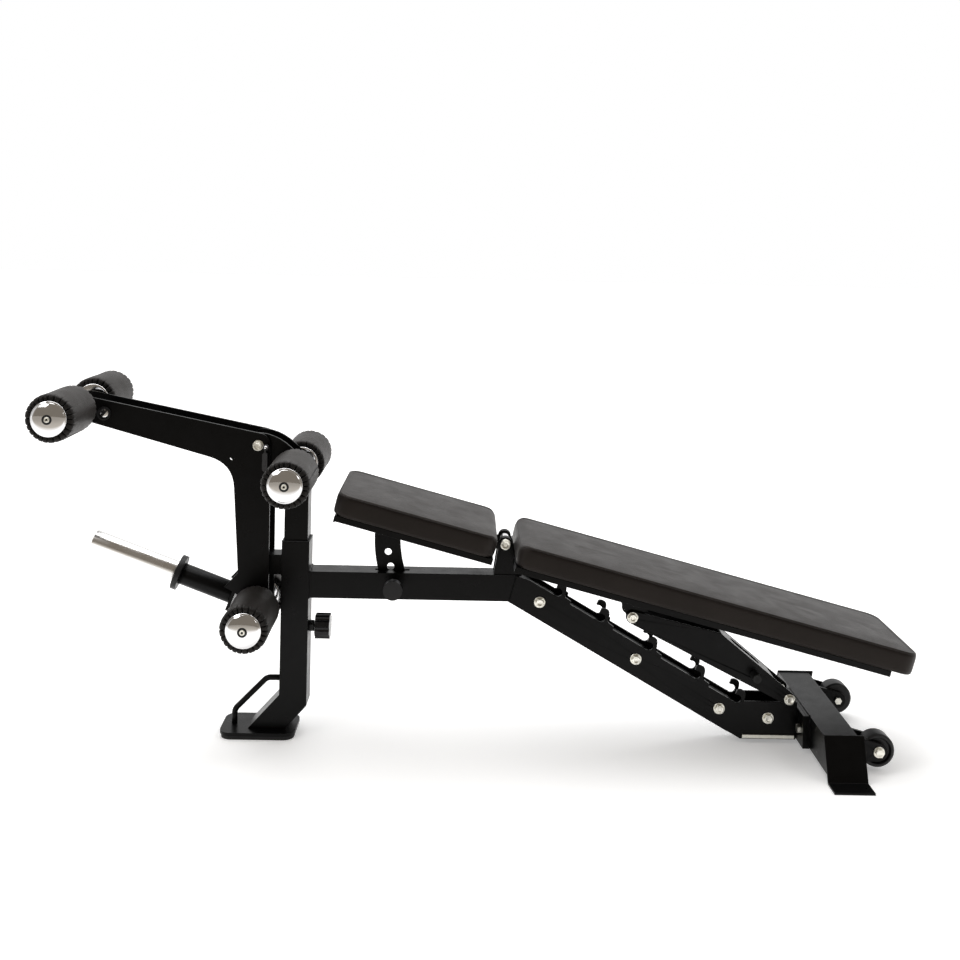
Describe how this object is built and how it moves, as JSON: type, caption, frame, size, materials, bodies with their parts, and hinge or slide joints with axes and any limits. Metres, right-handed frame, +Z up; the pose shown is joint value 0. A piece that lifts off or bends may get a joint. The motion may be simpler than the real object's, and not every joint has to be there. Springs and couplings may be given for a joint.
{
  "type": "decline sit up bench",
  "caption": "Adjustable decline bench with a leg developer: tilting seat and back, foam rollers, a weight sleeve on a swinging lever, and a wheeled rear foot.",
  "frame": {"origin": "centre of the bounding box on the floor, with the back in the decline position and the lever on its stop", "axes": "+X from the leg developer to the rear foot, +Y to the far side, +Z up"},
  "size_m": [2.0157, 0.568, 0.8305],
  "materials": {
    "black_steel": "satin powder coat",
    "chrome": "polished",
    "zinc": "zinc plated",
    "vinyl": "grained vinyl",
    "foam_vinyl": "stretched vinyl over foam",
    "plastic": "moulded",
    "rubber": "matte"
  },
  "bodies": {
    "frame": {"base_plate": "black_steel", "base_foot_pad": "rubber", "front_post": "black_steel", "receiver_liner": "plastic", "lift_handle": "black_steel", "knob_nut": "plastic", "stop_stub": "black_steel", "stop_bumper": "rubber", "main_beam": "black_steel", "rear_beam": "black_steel", "ladder_plates": "black_steel", "ladder_claws": "black_steel", "frame_bolts": "zinc", "pivot_bracket": "black_steel", "pivot_tube": "chrome", "pop_pin_barrel": "plastic", "rear_flanges": "black_steel", "rear_crossbar": "black_steel", "foot_plates": "black_steel", "wheel_brackets": "black_steel", "rear_bolts": "zinc"},
    "upright": {"upright_tube": "black_steel", "head_plates": "black_steel", "lever_pivot_bolt": "zinc", "mid_roller_bar": "chrome"},
    "lever": {"lever_plates": "black_steel", "lever_spacers": "black_steel", "upper_roller_bar": "chrome", "lower_roller_bar": "chrome", "bar_socket": "plastic", "weight_sleeve": "chrome", "sleeve_collar": "plastic", "sleeve_tube": "black_steel", "lock_pin": "chrome"},
    "roller_top_near": {"roller_top_near_foam": "foam_vinyl", "roller_top_near_caps": "chrome"},
    "roller_top_far": {"roller_top_far_foam": "foam_vinyl", "roller_top_far_caps": "chrome"},
    "roller_mid_near": {"roller_mid_near_foam": "foam_vinyl", "roller_mid_near_caps": "chrome"},
    "roller_mid_far": {"roller_mid_far_foam": "foam_vinyl", "roller_mid_far_caps": "chrome"},
    "roller_low_near": {"roller_low_near_foam": "foam_vinyl", "roller_low_near_caps": "chrome"},
    "roller_low_far": {"roller_low_far_foam": "foam_vinyl", "roller_low_far_caps": "chrome"},
    "wheel_near": {"wheel_near": "plastic"},
    "wheel_far": {"wheel_far": "plastic"},
    "seat": {"seat_frame": "black_steel", "seat_arc": "black_steel", "seat_pad": "vinyl"},
    "back": {"back_frame": "black_steel", "back_spine": "black_steel", "back_pad": "vinyl", "strut_bolt": "zinc"},
    "strut": {"strut": "black_steel", "strut_pins": "zinc", "strut_grip": "rubber"},
    "star_knob": {"star_knob": "plastic"},
    "pop_pin": {"pop_pin": "plastic"}
  },
  "joints": [
    {"name": "upright_slide", "type": "slide", "parent": "frame", "child": "upright", "axis": [0, 0, 1], "range_m": [0, 0.05]},
    {"name": "lever_swing", "type": "hinge", "parent": "upright", "child": "lever", "pos_m": [-0.528, 0, 0.693], "axis": [0, 1, 0], "range_deg": [0, 95]},
    {"name": "seat_tilt", "type": "hinge", "parent": "frame", "child": "seat", "pos_m": [0.059, 0, 0.471], "axis": [0, -1, 0], "range_deg": [0, 14.4]},
    {"name": "back_tilt", "type": "hinge", "parent": "frame", "child": "back", "pos_m": [0.059, 0, 0.471], "axis": [0, -1, 0], "range_deg": [0, 90.7]},
    {"name": "strut_swing", "type": "hinge", "parent": "back", "child": "strut", "pos_m": [0.364, 0, 0.302], "axis": [0, -1, 0], "range_deg": [-155, 0]},
    {"name": "star_knob_turn", "type": "hinge", "parent": "frame", "child": "star_knob", "pos_m": [-0.37, 0, 0.2545], "axis": [1, 0, 0], "continuous": true},
    {"name": "pop_pin_pull", "type": "slide", "parent": "frame", "child": "pop_pin", "axis": [0, -1, 0], "range_m": [0, 0.012], "stiffness_N_per_m": 600, "springref_m": -0.01},
    {"name": "roller_top_near_spin", "type": "hinge", "parent": "lever", "child": "roller_top_near", "pos_m": [-0.9533, -0.15, 0.776], "axis": [0, 1, 0], "continuous": true},
    {"name": "roller_top_far_spin", "type": "hinge", "parent": "lever", "child": "roller_top_far", "pos_m": [-0.9533, 0.15, 0.776], "axis": [0, 1, 0], "continuous": true},
    {"name": "roller_mid_near_spin", "type": "hinge", "parent": "upright", "child": "roller_mid_near", "pos_m": [-0.438, -0.15, 0.635], "axis": [0, 1, 0], "continuous": true},
    {"name": "roller_mid_far_spin", "type": "hinge", "parent": "upright", "child": "roller_mid_far", "pos_m": [-0.438, 0.15, 0.635], "axis": [0, 1, 0], "continuous": true},
    {"name": "roller_low_near_spin", "type": "hinge", "parent": "lever", "child": "roller_low_near", "pos_m": [-0.524, -0.15, 0.311], "axis": [0, 1, 0], "continuous": true},
    {"name": "roller_low_far_spin", "type": "hinge", "parent": "lever", "child": "roller_low_far", "pos_m": [-0.524, 0.15, 0.311], "axis": [0, 1, 0], "continuous": true},
    {"name": "wheel_near_spin", "type": "hinge", "parent": "frame", "child": "wheel_near", "pos_m": [0.9095, -0.152, 0.049], "axis": [0, 1, 0], "continuous": true},
    {"name": "wheel_far_spin", "type": "hinge", "parent": "frame", "child": "wheel_far", "pos_m": [0.9095, 0.152, 0.049], "axis": [0, 1, 0], "continuous": true}
  ],
  "couplings": [
    {"joint": "strut_swing", "follows": "back_tilt", "ratio": -1.7}
  ]
}
